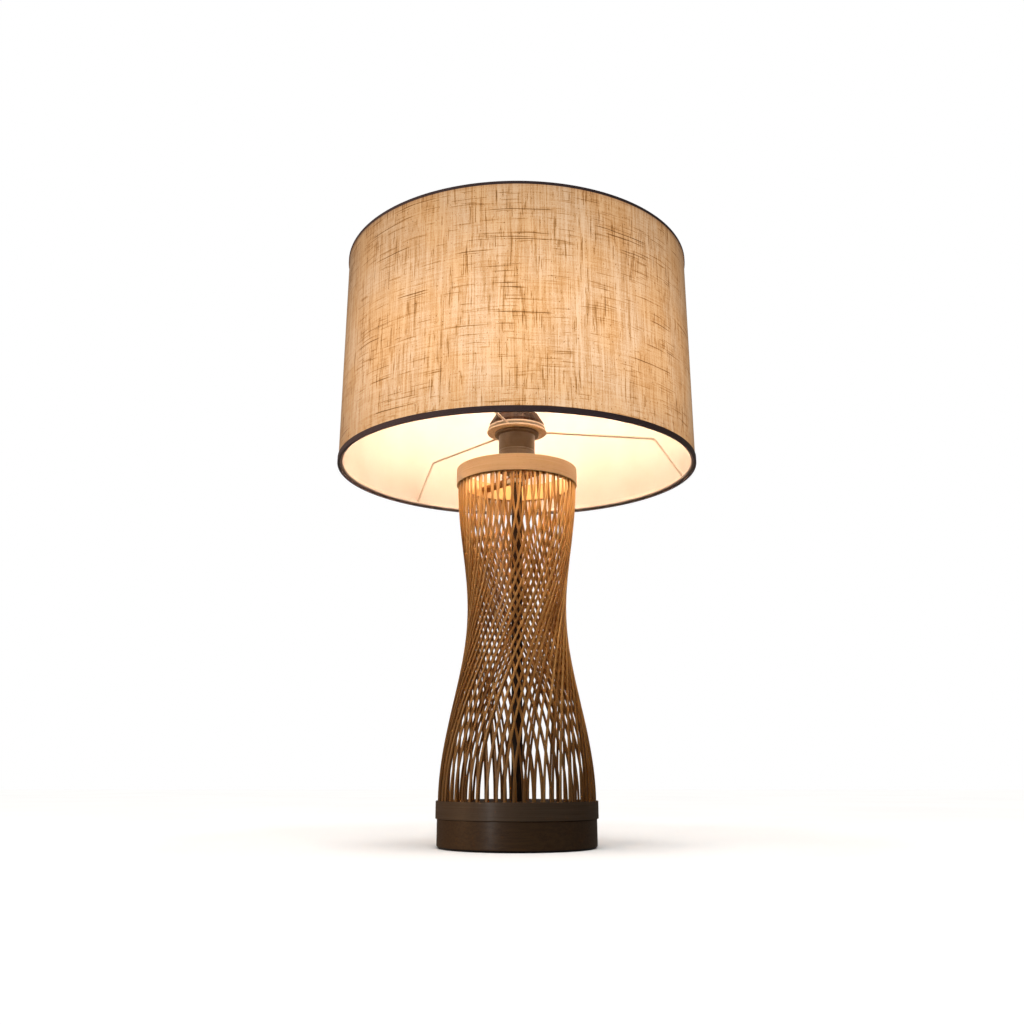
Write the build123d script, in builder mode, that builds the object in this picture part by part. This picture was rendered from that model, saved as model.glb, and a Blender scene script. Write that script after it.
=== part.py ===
"""Table lamp: a linen drum shade over a waisted cage of bamboo splints on a weighted base.

Millimetres. The origin is on the surface that the lamp stands on, on the lamp's axis.
+Z is up, the cord inlet faces +Y, and the lamp is looked at from -Y.
"""

from build123d import *
from math import cos, radians, sin
import os

os.makedirs("parts", exist_ok=True)

# ---------------------------------------------------------------- fits
fit = 0.1  # gap round a piece that is fixed in another
thread_fit = 0.08  # radial gap of a thread that turns
pin_fit = 0.06  # radial gap of a pin that slides
turning_gap = 0.7  # gap of a ring that turns loosely on a neck
clamp_gap = 0.1  # gap between stacked rings that turn on each other
cut_over = 1.0  # a cutting shape goes this far past the piece that it cuts

# ---------------------------------------------------------------- base
felt_t = 1.5
felt_inset = 1.6
drum_h = 22.8
drum_edge_r = 0.8
drum_wall = 14.1  # from the recess to the drum's outside
recess_web = 3.4
cover_inset = 5.1  # cover's rim inside the drum's outside
cover_t = 1.5
cover_screw_r = 1.5
cover_screw_l = 14.0
cover_screw_head_r = 2.9
cover_screw_count = 3
cover_screw_inset = 4.5  # cover screws inside the cover's rim
countersink = 90.0  # whole angle of a screw head's cone
weight_gap = 1.0
weight_chamfer = 1.0
foot_gap = 0.5  # stem's foot above the cover
band_h = 14.9
band_t = 1.75
band_proud = 1.4  # band's outside beyond the drum's
inlet_rise = 8.1  # cord inlet above the drum's underside
inlet_bore_r = 3.2
grommet_wall = 1.4
grommet_flange_r = 7.0
grommet_flange_t = 1.8
inlet_flat_depth = 0.9

# ---------------------------------------------------------------- splint cage
splint_w = 2.2
splint_t = 1.3
splints_per_layer = 54
splint_top_r = 56.8
splint_bottom_r = 70.0
layer_gap = 1.3  # gap between the two layers of splints
splint_twist = 84.8  # turn of each splint from its top to its bottom, degrees
cage_h = 291.3  # open height between the base band and the top hoop
hoop_h = 16.0
hoop_t = 1.4
inner_hoop_t = 1.5
splint_end_gap = 0.7  # splints and spacers stop this far inside the hoops
sections_per_splint = 13

# ---------------------------------------------------------------- stem
stem_r = 5.0
stem_wall = 1.0
stem_nut_rim = 3.5  # nuts beyond the stem, at their flats
stem_nut_h = 4.0
foot_washer_rim = 6.0  # foot washer beyond the stem
foot_washer_t = 1.5
stem_foot_stub = 1.0
crossbar_rim = 1.0  # crossbar beyond the stem on either side
crossbar_t = 2.5
crossbar_drop = 7.0  # crossbar's top below the hoop's top
crossbar_angle = 129.0
lock_washer_rim = 4.0  # lock washer beyond the stem
lock_washer_t = 1.0

# ---------------------------------------------------------------- lampholder
holder_wall = 1.6
holder_neck_wall = 3.0
holder_neck_h = 5.0
holder_floor_t = 2.0
skirt_wall = 1.5
skirt_plain_h = 18.2
seam_groove_z = 2.1
seam_groove_h = 0.6
seam_groove_depth = 0.4
shoulder_lip = 1.9  # shoulder beyond the thread
shoulder_h = 3.0
thread_wall = 3.5
thread_h = 17.4
mouth_gap = 0.4  # skirt's mouth round the bulb's throat
grub_r = 1.5
grub_l = 2.6
carrier_ledge_w = 1.7
carrier_ledge_h = 3.5
carrier_t = 9.0
spigot_h = 3.9
spigot_wall = 1.7
spigot_gap = 0.5  # skirt's spigot above the carrier
cap_gap = 0.4  # screw shell round the bulb's cap
shell_t = 0.4
shell_short = 2.5  # screw shell's rim below the top of the bulb's cap
shell_lip = 5.0
terminal_x = 9.0
terminal_w = 5.0
terminal_h = 5.0
terminal_screw_r = 1.3
terminal_head_r = 2.4
terminal_head_h = 1.6
plunger_r = 1.5
plunger_head_r = 3.6
plunger_head_h = 1.0
plunger_l = 13.5
contact_rise = 7.0  # contact's top above the carrier
spring_wire_r = 0.3
spring_r = 2.6
spring_turns = 4

# ---------------------------------------------------------------- bulb
tip_r = 4.5
tip_h = 1.2
bulb_insulator_h = 4.3
bulb_cap_r = 13.2
bulb_cap_t = 0.5
bulb_cap_h = 17.5
bulb_neck_step = 1.0  # neck beyond the cap
bulb_neck_h = 4.0
bulb_throat_step = 1.8  # throat beyond the neck
bulb_throat_rise = 1.0  # throat above the skirt's rim
bulb_flare_r = 27.6
bulb_flare_h = 28.0
globe_r = 30.0
globe_t = 1.2
housing_t = 1.5
led_board_t = 1.5

# ---------------------------------------------------------------- ring nut and washer
nut_foot_w = 7.3  # nut's foot beyond the thread
nut_top_w = 1.7  # nut's top beyond the thread
nut_foot_h = 3.2
nut_h = 12.7
nut_rib_count = 24
nut_rib_r = 0.9
clamp_washer_w = 7.9
clamp_washer_t = 1.5

# ---------------------------------------------------------------- shade
shade_r = 175.0
shade_h = 218.3
shade_drop = 39.8  # shade's lower edge below the seat of its ring
trim_t = 0.5
bottom_trim_h = 5.2
top_trim_h = 2.9
trim_lip = 2.4
fabric_t = 0.6
liner_t = 0.5
edge_wire_r = 1.5
edge_wire_rise = 1.3  # gap between the trim's lip and the edge wire
spider_ring_w = 9.0
spider_ring_t = 1.6
spoke_wire_r = 1.2
spoke_count = 3
spoke_angle = 10.0
spoke_start_in = 7.0  # spokes start this far inside the ring's rim
spoke_bend_in = 32.0  # spokes bend this far inside the shade
spoke_bend_r = 6.0

# ---------------------------------------------------------------- levels, from the table up
drum_bottom_z = felt_t
drum_top_z = drum_bottom_z + drum_h
band_top_z = drum_top_z + band_h
hoop_bottom_z = band_top_z + cage_h
hoop_top_z = hoop_bottom_z + hoop_h
recess_top_z = drum_top_z - recess_web
inlet_z = drum_bottom_z + inlet_rise
stem_bottom_z = drum_bottom_z + cover_t + foot_gap
foot_nut_z = stem_bottom_z + stem_foot_stub
foot_washer_z = foot_nut_z + stem_nut_h
weight_bottom_z = foot_washer_z + foot_washer_t
weight_top_z = recess_top_z - fit
crossbar_top_z = hoop_top_z - crossbar_drop
crossbar_bottom_z = crossbar_top_z - crossbar_t
neck_bottom_z = crossbar_top_z + lock_washer_t
holder_bottom_z = neck_bottom_z + holder_neck_h
holder_floor_z = holder_bottom_z + holder_floor_t
carrier_bottom_z = holder_floor_z + carrier_ledge_h
carrier_top_z = carrier_bottom_z + carrier_t
cap_top_z = carrier_top_z + spigot_gap + spigot_h
shoulder_bottom_z = cap_top_z + skirt_plain_h
seat_z = shoulder_bottom_z + shoulder_h
rim_z = seat_z + thread_h
contact_z = carrier_top_z + contact_rise
tip_top_z = contact_z + tip_h
bulb_cap_z = tip_top_z + bulb_insulator_h
housing_z = bulb_cap_z + bulb_cap_h
throat_z = rim_z + bulb_throat_rise
flare_z = throat_z + bulb_flare_h
spider_top_z = seat_z + spider_ring_t
spoke_z = spider_top_z + spoke_wire_r
washer_bottom_z = spoke_z + spoke_wire_r + clamp_gap
nut_bottom_z = washer_bottom_z + clamp_washer_t + clamp_gap
shade_bottom_z = seat_z - shade_drop
shade_top_z = shade_bottom_z + shade_h

# ---------------------------------------------------------------- radii, from the fits
layer_step = splint_t + layer_gap
inner_top_r = splint_top_r - layer_step
inner_bottom_r = splint_bottom_r - layer_step
half_t = splint_t / 2
top_hoop_bore = splint_top_r + half_t + fit
top_spacer_r = splint_top_r - half_t - fit
top_spacer_bore = inner_top_r + half_t + fit
inner_hoop_r = inner_top_r - half_t - fit
inner_hoop_bore = inner_hoop_r - inner_hoop_t
band_bore = splint_bottom_r + half_t + fit
bottom_spacer_r = splint_bottom_r - half_t - fit
bottom_spacer_bore = inner_bottom_r + half_t + fit
plug_r = inner_bottom_r - half_t - fit
base_r = band_bore + band_t - band_proud
recess_r = base_r - drum_wall
cover_r = base_r - cover_inset
cover_screw_circle_r = cover_r - cover_screw_inset
stem_nut_across = 2 * (stem_r + stem_nut_rim)
crossbar_w = 2 * (stem_r + crossbar_rim)
holder_neck_r = stem_r + holder_neck_wall
shell_r = bulb_cap_r + cap_gap + shell_t
bulb_neck_r = bulb_cap_r + bulb_neck_step
bulb_throat_r = bulb_neck_r + bulb_throat_step
mouth_r = bulb_throat_r + mouth_gap
holder_r = mouth_r + skirt_wall
holder_cavity_r = holder_r - holder_wall
thread_r = mouth_r + thread_wall
shoulder_r = thread_r + shoulder_lip
fabric_r = shade_r - trim_t - fit
liner_r = fabric_r - fabric_t - fit
edge_wire_circle_r = liner_r - liner_t - fit - edge_wire_r
ring_hole_r = thread_r + turning_gap
spider_ring_r = ring_hole_r + spider_ring_w
clamp_washer_r = ring_hole_r + clamp_washer_w
nut_bore_r = thread_r + thread_fit
nut_foot_r = thread_r + nut_foot_w
nut_top_r = thread_r + nut_top_w


# ---------------------------------------------------------------- shared shapes
def tube(outer_r, inner_r, bottom_z, top_z, mode=Mode.ADD):
    """A round bar or tube on the lamp's axis, in the part being built."""
    with BuildSketch(Plane.XY.offset(bottom_z)) as section:
        Circle(outer_r)
        if inner_r > 0:
            Circle(inner_r, mode=Mode.SUBTRACT)
    extrude(section.sketch, amount=top_z - bottom_z, mode=mode)


def turned(*corners):
    """An outline of (radius, height) corners turned about the lamp's axis."""
    with BuildSketch(Plane.XZ) as outline:
        with BuildLine():
            Polyline(*corners, close=True)
        make_face()
    revolve(outline.sketch, axis=Axis.Z)


def hex_nut(across, bore_r, bottom_z, height):
    """A hexagon nut on the lamp's axis."""
    with BuildSketch(Plane.XY.offset(bottom_z)) as section:
        RegularPolygon(across / 2, 6, major_radius=False)
        Circle(bore_r, mode=Mode.SUBTRACT)
    extrude(section.sketch, amount=height)


# ---------------------------------------------------------------- base
with BuildPart() as base_drum:
    tube(base_r, 0, drum_bottom_z, drum_top_z)
    fillet(base_drum.edges().filter_by(GeomType.CIRCLE), drum_edge_r)
    tube(cover_r + fit, 0, drum_bottom_z, drum_bottom_z + cover_t + fit, mode=Mode.SUBTRACT)
    tube(recess_r, 0, drum_bottom_z, recess_top_z, mode=Mode.SUBTRACT)
    tube(stem_r + fit, 0, drum_bottom_z, drum_top_z, mode=Mode.SUBTRACT)
    with BuildSketch(Plane.XY.offset(drum_bottom_z)):
        with PolarLocations(cover_screw_circle_r, cover_screw_count):
            Circle(cover_screw_r + fit)
    extrude(amount=cover_screw_l + fit, mode=Mode.SUBTRACT)
    with BuildSketch(Plane(origin=(0, base_r, inlet_z), z_dir=(0, -1, 0))):
        Circle(grommet_flange_r + fit)
    extrude(amount=inlet_flat_depth, mode=Mode.SUBTRACT)
    with BuildSketch(Plane(origin=(0, base_r, inlet_z), z_dir=(0, -1, 0))):
        Circle(inlet_bore_r + grommet_wall + fit)
    extrude(amount=base_r - recess_r / 2, mode=Mode.SUBTRACT)
base_drum.part.label = "base_drum"
export_step(base_drum.part, "parts/base_drum.step")

with BuildPart() as felt_pad:
    tube(base_r - felt_inset, 0, 0, felt_t)
felt_pad.part.label = "felt_pad"
export_step(felt_pad.part, "parts/felt_pad.step")

with BuildPart() as bottom_cover:
    tube(cover_r, 0, drum_bottom_z, drum_bottom_z + cover_t)
    with Locations(Plane(origin=(0, 0, drum_bottom_z), x_dir=(1, 0, 0), z_dir=(0, 0, -1))):
        with PolarLocations(cover_screw_circle_r, cover_screw_count):
            CounterSinkHole(cover_screw_r + fit, cover_screw_head_r + fit, cover_t, countersink)
bottom_cover.part.label = "bottom_cover"
export_step(bottom_cover.part, "parts/bottom_cover.step")

with BuildPart() as cover_screws:
    with BuildSketch(Plane.XY.offset(drum_bottom_z)):
        with PolarLocations(cover_screw_circle_r, cover_screw_count):
            Circle(cover_screw_r)
    extrude(amount=cover_screw_l)
    with BuildSketch(Plane.XY.offset(drum_bottom_z)):
        with PolarLocations(cover_screw_circle_r, cover_screw_count):
            Circle(cover_screw_head_r)
    extrude(amount=cover_screw_head_r - cover_screw_r, taper=countersink / 2)
cover_screws.part.label = "cover_screws"
export_step(cover_screws.part, "parts/cover_screws.step")

with BuildPart() as base_weight:
    tube(recess_r - weight_gap, stem_r + fit, weight_bottom_z, weight_top_z)
    chamfer(base_weight.edges().filter_by(GeomType.CIRCLE).sort_by(SortBy.RADIUS)[-2:], weight_chamfer)
base_weight.part.label = "base_weight"
export_step(base_weight.part, "parts/base_weight.step")

with BuildPart() as base_plug:
    tube(plug_r, stem_r + fit, drum_top_z, band_top_z - splint_end_gap)
base_plug.part.label = "base_plug"
export_step(base_plug.part, "parts/base_plug.step")

with BuildPart() as base_band:
    tube(band_bore + band_t, band_bore, drum_top_z, band_top_z)
base_band.part.label = "base_band"
export_step(base_band.part, "parts/base_band.step")

with BuildPart() as cord_grommet:
    with BuildSketch(Plane(origin=(0, base_r - inlet_flat_depth, inlet_z), z_dir=(0, 1, 0))):
        Circle(grommet_flange_r)
    extrude(amount=grommet_flange_t)
    with BuildSketch(Plane(origin=(0, base_r - inlet_flat_depth, inlet_z), z_dir=(0, -1, 0))):
        Circle(inlet_bore_r + grommet_wall)
    extrude(amount=base_r - inlet_flat_depth - recess_r)
    with BuildSketch(Plane(origin=(0, recess_r, inlet_z), z_dir=(0, 1, 0))):
        Circle(inlet_bore_r)
    extrude(amount=base_r, mode=Mode.SUBTRACT)
cord_grommet.part.label = "cord_grommet"
export_step(cord_grommet.part, "parts/cord_grommet.step")


# ---------------------------------------------------------------- splint cage
def splint_plane(top_r, bottom_r, twist, z):
    """Section plane of one splint at height z.

    Seen from above, a splint runs along the straight chord from its top point to its
    bottom point. Both ends are held upright, so its way along the chord is the bending
    curve of a beam held at both ends, 3t^2 - 2t^3, with t from 0 at the hoop to 1 at the
    band. Its flat side faces the lamp's axis all the way down.
    """
    t = min(max((hoop_bottom_z - z) / cage_h, 0), 1)
    end = Vector(bottom_r * cos(radians(twist)), bottom_r * sin(radians(twist)), 0)
    chord = end - Vector(top_r, 0, 0)
    point = Vector(top_r, 0, 0) + chord * (3 * t**2 - 2 * t**3)
    along = (chord * (6 * t * (1 - t)) - Vector(0, 0, cage_h)).normalized()
    around = Vector(-point.Y, point.X, 0).normalized()
    across = (around - along * around.dot(along)).normalized()
    return Plane(origin=point + Vector(0, 0, z), x_dir=across, z_dir=along)


splint_top_z = hoop_top_z - splint_end_gap
splint_bottom_z = drum_top_z + splint_end_gap
free_steps = sections_per_splint - 3  # less the two held ends, and a step fewer than sections
splint_levels = [splint_top_z]
splint_levels += [hoop_bottom_z - cage_h * step / free_steps for step in range(free_steps + 1)]
splint_levels += [splint_bottom_z]

with BuildPart() as outer_splint:
    for level in splint_levels:
        with BuildSketch(splint_plane(splint_top_r, splint_bottom_r, -splint_twist, level)):
            Rectangle(splint_w, splint_t)
    loft()

with BuildPart() as inner_splint:
    for level in splint_levels:
        with BuildSketch(splint_plane(inner_top_r, inner_bottom_r, splint_twist, level)):
            Rectangle(splint_w, splint_t)
    loft()

with BuildPart() as outer_splints:
    with PolarLocations(0, splints_per_layer):
        add(outer_splint.part)
outer_splints.part.label = "outer_splints"
export_step(outer_splints.part, "parts/outer_splints.step")

with BuildPart() as inner_splints:
    with PolarLocations(0, splints_per_layer, start_angle=180 / splints_per_layer):
        add(inner_splint.part)
inner_splints.part.label = "inner_splints"
export_step(inner_splints.part, "parts/inner_splints.step")

with BuildPart() as top_hoop:
    tube(top_hoop_bore + hoop_t, top_hoop_bore, hoop_bottom_z, hoop_top_z)
top_hoop.part.label = "top_hoop"
export_step(top_hoop.part, "parts/top_hoop.step")

with BuildPart() as top_spacer:
    tube(top_spacer_r, top_spacer_bore, hoop_bottom_z + splint_end_gap, splint_top_z)
top_spacer.part.label = "top_spacer"
export_step(top_spacer.part, "parts/top_spacer.step")

with BuildPart() as bottom_spacer:
    tube(bottom_spacer_r, bottom_spacer_bore, splint_bottom_z, band_top_z - splint_end_gap)
bottom_spacer.part.label = "bottom_spacer"
export_step(bottom_spacer.part, "parts/bottom_spacer.step")

with BuildPart() as inner_hoop:
    tube(inner_hoop_r, inner_hoop_bore, hoop_bottom_z, hoop_top_z)
    with BuildSketch(Plane.XY.offset(crossbar_bottom_z - fit)):
        Rectangle(2 * (inner_hoop_r + cut_over), crossbar_w + 2 * fit, rotation=crossbar_angle)
    extrude(amount=crossbar_t + 2 * fit, mode=Mode.SUBTRACT)
inner_hoop.part.label = "inner_hoop"
export_step(inner_hoop.part, "parts/inner_hoop.step")

# ---------------------------------------------------------------- stem
with BuildPart() as stem_tube:
    tube(stem_r, stem_r - stem_wall, stem_bottom_z, holder_floor_z)
stem_tube.part.label = "stem_tube"
export_step(stem_tube.part, "parts/stem_tube.step")

with BuildPart() as foot_washer:
    tube(stem_r + foot_washer_rim, stem_r + fit, foot_washer_z, weight_bottom_z)
foot_washer.part.label = "foot_washer"
export_step(foot_washer.part, "parts/foot_washer.step")

with BuildPart() as foot_nut:
    hex_nut(stem_nut_across, stem_r + fit, foot_nut_z, stem_nut_h)
foot_nut.part.label = "foot_nut"
export_step(foot_nut.part, "parts/foot_nut.step")

with BuildPart() as crossbar:
    with BuildSketch(Plane.XY.offset(crossbar_bottom_z)):
        Circle(inner_hoop_r - fit)
        Rectangle(2 * inner_hoop_r, crossbar_w, rotation=crossbar_angle, mode=Mode.INTERSECT)
        Circle(stem_r + fit, mode=Mode.SUBTRACT)
    extrude(amount=crossbar_t)
crossbar.part.label = "crossbar"
export_step(crossbar.part, "parts/crossbar.step")

with BuildPart() as crossbar_nut:
    hex_nut(stem_nut_across, stem_r + fit, crossbar_bottom_z - stem_nut_h, stem_nut_h)
crossbar_nut.part.label = "crossbar_nut"
export_step(crossbar_nut.part, "parts/crossbar_nut.step")

with BuildPart() as lock_washer:
    tube(stem_r + lock_washer_rim, stem_r + fit, crossbar_top_z, neck_bottom_z)
lock_washer.part.label = "lock_washer"
export_step(lock_washer.part, "parts/lock_washer.step")

# ---------------------------------------------------------------- lampholder
grub_plane = Plane(origin=(holder_neck_r, 0, neck_bottom_z + holder_neck_h / 2), z_dir=(-1, 0, 0))
with BuildPart() as holder_cap:
    tube(holder_neck_r, 0, neck_bottom_z, holder_floor_z)
    tube(holder_r, 0, holder_bottom_z, cap_top_z)
    tube(holder_cavity_r, 0, carrier_bottom_z, cap_top_z, mode=Mode.SUBTRACT)
    tube(holder_cavity_r - carrier_ledge_w, 0, holder_floor_z, carrier_bottom_z, mode=Mode.SUBTRACT)
    tube(stem_r + fit, 0, neck_bottom_z, holder_floor_z, mode=Mode.SUBTRACT)
    with BuildSketch(grub_plane):
        Circle(grub_r + fit)
    extrude(amount=holder_neck_r - stem_r, mode=Mode.SUBTRACT)
holder_cap.part.label = "holder_cap"
export_step(holder_cap.part, "parts/holder_cap.step")

with BuildPart() as holder_grub_screw:
    with BuildSketch(grub_plane):
        Circle(grub_r)
    extrude(amount=grub_l)
holder_grub_screw.part.label = "holder_grub_screw"
export_step(holder_grub_screw.part, "parts/holder_grub_screw.step")

spigot_r = holder_cavity_r - fit
groove_bottom_z = cap_top_z + seam_groove_z
with BuildPart() as holder_skirt:
    turned(
        (spigot_r - spigot_wall, cap_top_z - spigot_h),
        (spigot_r, cap_top_z - spigot_h),
        (spigot_r, cap_top_z),
        (holder_r, cap_top_z),
        (holder_r, groove_bottom_z),
        (holder_r - seam_groove_depth, groove_bottom_z),
        (holder_r - seam_groove_depth, groove_bottom_z + seam_groove_h),
        (holder_r, groove_bottom_z + seam_groove_h),
        (holder_r, shoulder_bottom_z),
        (shoulder_r, shoulder_bottom_z),
        (shoulder_r, seat_z),
        (thread_r, seat_z),
        (thread_r, rim_z),
        (mouth_r, rim_z),
        (mouth_r, groove_bottom_z + seam_groove_h),
        (spigot_r - spigot_wall, groove_bottom_z + seam_groove_h),
    )
holder_skirt.part.label = "holder_skirt"
export_step(holder_skirt.part, "parts/holder_skirt.step")

with BuildPart() as contact_carrier:
    tube(spigot_r, 0, carrier_bottom_z, carrier_top_z)
    with BuildSketch(Plane.XY.offset(carrier_bottom_z)):
        with Locations((-terminal_x, 0), (terminal_x, 0)):
            Rectangle(terminal_w + 2 * fit, terminal_w + 2 * fit)
    extrude(amount=terminal_h + fit, mode=Mode.SUBTRACT)
    tube(plunger_r + pin_fit, 0, carrier_bottom_z, carrier_top_z, mode=Mode.SUBTRACT)
contact_carrier.part.label = "contact_carrier"
export_step(contact_carrier.part, "parts/contact_carrier.step")

with BuildPart() as terminal_blocks:
    with BuildSketch(Plane.XY.offset(carrier_bottom_z)):
        with Locations((-terminal_x, 0), (terminal_x, 0)):
            Rectangle(terminal_w, terminal_w)
            Circle(terminal_screw_r + fit, mode=Mode.SUBTRACT)
    extrude(amount=terminal_h)
terminal_blocks.part.label = "terminal_blocks"
export_step(terminal_blocks.part, "parts/terminal_blocks.step")

with BuildPart() as terminal_screws:
    with BuildSketch(Plane.XY.offset(carrier_bottom_z)):
        with Locations((-terminal_x, 0), (terminal_x, 0)):
            Circle(terminal_screw_r)
    extrude(amount=terminal_h - fit)
    with BuildSketch(Plane.XY.offset(carrier_bottom_z)):
        with Locations((-terminal_x, 0), (terminal_x, 0)):
            Circle(terminal_head_r)
    extrude(amount=-terminal_head_h)
terminal_screws.part.label = "terminal_screws"
export_step(terminal_screws.part, "parts/terminal_screws.step")

with BuildPart() as screw_shell:
    tube(shell_r, shell_r - shell_t, carrier_top_z, housing_z - shell_short)
    tube(shell_r, shell_r - shell_lip, carrier_top_z, carrier_top_z + shell_t)
screw_shell.part.label = "screw_shell"
export_step(screw_shell.part, "parts/screw_shell.step")

with BuildPart() as centre_contact:
    tube(plunger_r, 0, contact_z - plunger_l, contact_z)
    tube(plunger_head_r, 0, contact_z - plunger_head_h, contact_z)
centre_contact.part.label = "centre_contact"
export_step(centre_contact.part, "parts/centre_contact.step")

# the spring stands on the carrier, round the plunger, and carries the contact's head
spring_foot_z = carrier_top_z + spring_wire_r + fit
spring_top_z = contact_z - plunger_head_h - spring_wire_r - fit
with BuildPart() as contact_spring:
    with BuildLine(Plane.XY.offset(spring_foot_z)) as coil:
        Helix((spring_top_z - spring_foot_z) / spring_turns, spring_top_z - spring_foot_z, spring_r)
    with BuildSketch(Plane(origin=coil.line @ 0, z_dir=coil.line % 0)):
        Circle(spring_wire_r)
    sweep(is_frenet=True)
contact_spring.part.label = "contact_spring"
export_step(contact_spring.part, "parts/contact_spring.step")

# ---------------------------------------------------------------- bulb
globe_z = flare_z + (globe_r**2 - bulb_flare_r**2) ** 0.5

with BuildPart() as bulb_tip:
    tube(tip_r, 0, contact_z, tip_top_z)
bulb_tip.part.label = "bulb_tip"
export_step(bulb_tip.part, "parts/bulb_tip.step")

with BuildPart() as bulb_insulator:
    turned((0, tip_top_z), (tip_r, tip_top_z), (bulb_cap_r - bulb_cap_t, bulb_cap_z), (0, bulb_cap_z))
bulb_insulator.part.label = "bulb_insulator"
export_step(bulb_insulator.part, "parts/bulb_insulator.step")

with BuildPart() as bulb_cap:
    tube(bulb_cap_r, bulb_cap_r - bulb_cap_t, bulb_cap_z, housing_z)
bulb_cap.part.label = "bulb_cap"
export_step(bulb_cap.part, "parts/bulb_cap.step")

with BuildPart() as bulb_housing:
    turned(
        (bulb_neck_r - housing_t, housing_z),
        (bulb_neck_r, housing_z),
        (bulb_neck_r, housing_z + bulb_neck_h),
        (bulb_throat_r, throat_z),
        (bulb_flare_r, flare_z),
        (bulb_flare_r - housing_t, flare_z),
        (bulb_throat_r - housing_t, throat_z),
        (bulb_neck_r - housing_t, housing_z + bulb_neck_h),
    )
    tube(bulb_neck_r - housing_t / 2, 0, housing_z, housing_z + housing_t)
bulb_housing.part.label = "bulb_housing"
export_step(bulb_housing.part, "parts/bulb_housing.step")

# the board closes the housing's mouth, so its rim follows the housing's slope
board_narrowing = led_board_t * (bulb_flare_r - bulb_throat_r) / bulb_flare_h
with BuildPart() as led_board:
    tube(bulb_flare_r - housing_t - board_narrowing - fit, 0, flare_z - led_board_t, flare_z)
led_board.part.label = "led_board"
export_step(led_board.part, "parts/led_board.step")

with BuildPart() as bulb_globe:
    with Locations((0, 0, globe_z)):
        Sphere(globe_r)
        Sphere(globe_r - globe_t, mode=Mode.SUBTRACT)
    tube(globe_r + cut_over, 0, globe_z - globe_r - cut_over, flare_z, mode=Mode.SUBTRACT)
bulb_globe.part.label = "bulb_globe"
export_step(bulb_globe.part, "parts/bulb_globe.step")

# ---------------------------------------------------------------- clamp washer and ring nut
with BuildPart() as clamp_washer:
    tube(clamp_washer_r, ring_hole_r, washer_bottom_z, washer_bottom_z + clamp_washer_t)
clamp_washer.part.label = "clamp_washer"
export_step(clamp_washer.part, "parts/clamp_washer.step")

with BuildPart() as ring_nut:
    turned(
        (nut_bore_r, nut_bottom_z),
        (nut_foot_r, nut_bottom_z),
        (nut_foot_r, nut_bottom_z + nut_foot_h),
        (nut_top_r, nut_bottom_z + nut_h),
        (nut_bore_r, nut_bottom_z + nut_h),
    )
    with BuildSketch(Plane.XY.offset(nut_bottom_z)):
        with PolarLocations(nut_foot_r + nut_rib_r / 2, nut_rib_count):
            Circle(nut_rib_r)
    extrude(amount=nut_foot_h, mode=Mode.SUBTRACT)
ring_nut.part.label = "ring_nut"
export_step(ring_nut.part, "parts/ring_nut.step")

# ---------------------------------------------------------------- shade
with BuildPart() as spider_ring:
    tube(spider_ring_r, ring_hole_r, seat_z, spider_top_z)
spider_ring.part.label = "spider_ring"
export_step(spider_ring.part, "parts/spider_ring.step")

lower_wire_z = shade_bottom_z + trim_t + edge_wire_rise + edge_wire_r
upper_wire_z = shade_top_z - trim_t - edge_wire_rise - edge_wire_r
with BuildPart() as bottom_ring_wire:
    with BuildSketch(Plane.XZ):
        with Locations((edge_wire_circle_r, lower_wire_z)):
            Circle(edge_wire_r)
    revolve(axis=Axis.Z)
bottom_ring_wire.part.label = "bottom_ring_wire"
export_step(bottom_ring_wire.part, "parts/bottom_ring_wire.step")

with BuildPart() as top_ring_wire:
    with BuildSketch(Plane.XZ):
        with Locations((edge_wire_circle_r, upper_wire_z)):
            Circle(edge_wire_r)
    revolve(axis=Axis.Z)
top_ring_wire.part.label = "top_ring_wire"
export_step(top_ring_wire.part, "parts/top_ring_wire.step")

with BuildPart() as spoke:
    with BuildLine(Plane.XZ) as spoke_line:
        FilletPolyline(
            (spider_ring_r - spoke_start_in, spoke_z),
            (shade_r - spoke_bend_in, spoke_z),
            (edge_wire_circle_r, lower_wire_z),
            radius=spoke_bend_r,
        )
    with BuildSketch(Plane(origin=spoke_line.line @ 0, z_dir=spoke_line.line % 0)):
        Circle(spoke_wire_r)
    sweep()
    add(bottom_ring_wire.part, mode=Mode.SUBTRACT)

with BuildPart() as spider_spokes:
    with PolarLocations(0, spoke_count, start_angle=spoke_angle):
        add(spoke.part)
spider_spokes.part.label = "spider_spokes"
export_step(spider_spokes.part, "parts/spider_spokes.step")

fabric_bottom_z = shade_bottom_z + trim_t + fit
fabric_top_z = shade_top_z - trim_t - fit
with BuildPart() as shade_fabric:
    tube(fabric_r, fabric_r - fabric_t, fabric_bottom_z, fabric_top_z)
shade_fabric.part.label = "shade_fabric"
export_step(shade_fabric.part, "parts/shade_fabric.step")

with BuildPart() as shade_liner:
    tube(liner_r, liner_r - liner_t, fabric_bottom_z, fabric_top_z)
shade_liner.part.label = "shade_liner"
export_step(shade_liner.part, "parts/shade_liner.step")

with BuildPart() as bottom_trim:
    tube(shade_r, shade_r - trim_t, shade_bottom_z, shade_bottom_z + bottom_trim_h)
    tube(shade_r, shade_r - trim_lip, shade_bottom_z, shade_bottom_z + trim_t)
bottom_trim.part.label = "bottom_trim"
export_step(bottom_trim.part, "parts/bottom_trim.step")

with BuildPart() as top_trim:
    tube(shade_r, shade_r - trim_t, shade_top_z - top_trim_h, shade_top_z)
    tube(shade_r, shade_r - trim_lip, shade_top_z - trim_t, shade_top_z)
top_trim.part.label = "top_trim"
export_step(top_trim.part, "parts/top_trim.step")
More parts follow.
